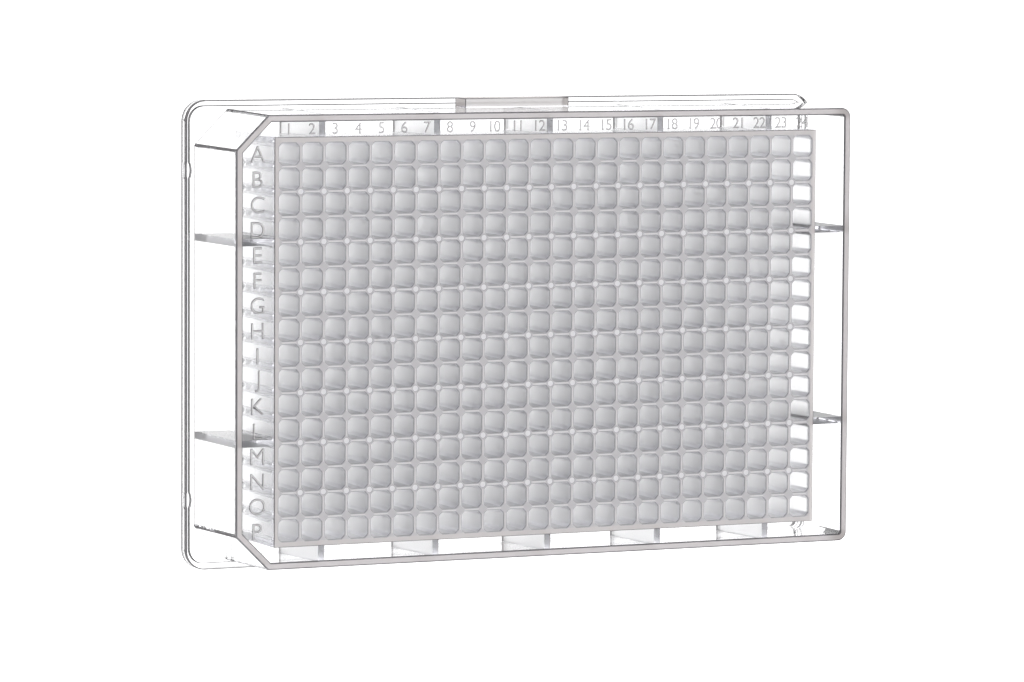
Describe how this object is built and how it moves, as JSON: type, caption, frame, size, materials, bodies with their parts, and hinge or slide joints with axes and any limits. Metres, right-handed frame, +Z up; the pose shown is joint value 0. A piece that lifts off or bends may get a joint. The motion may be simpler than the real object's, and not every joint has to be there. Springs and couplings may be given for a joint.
{
  "type": "deep well plate",
  "caption": "Clear deep well storage plate: a block of square wells with pointed floors, hung from a shallow deck in a thin wall on a stepped nesting flange.",
  "frame": {"origin": "centre of the footprint, on the table", "axes": "+X along the columns of wells from the first to the last, +Y towards the first row, +Z up out of the wells"},
  "size_m": [0.1278, 0.0854, 0.022],
  "materials": {
    "clear_polypropylene": "gloss"
  },
  "bodies": {
    "root": {"well_plate": "clear_polypropylene"}
  },
  "joints": []
}
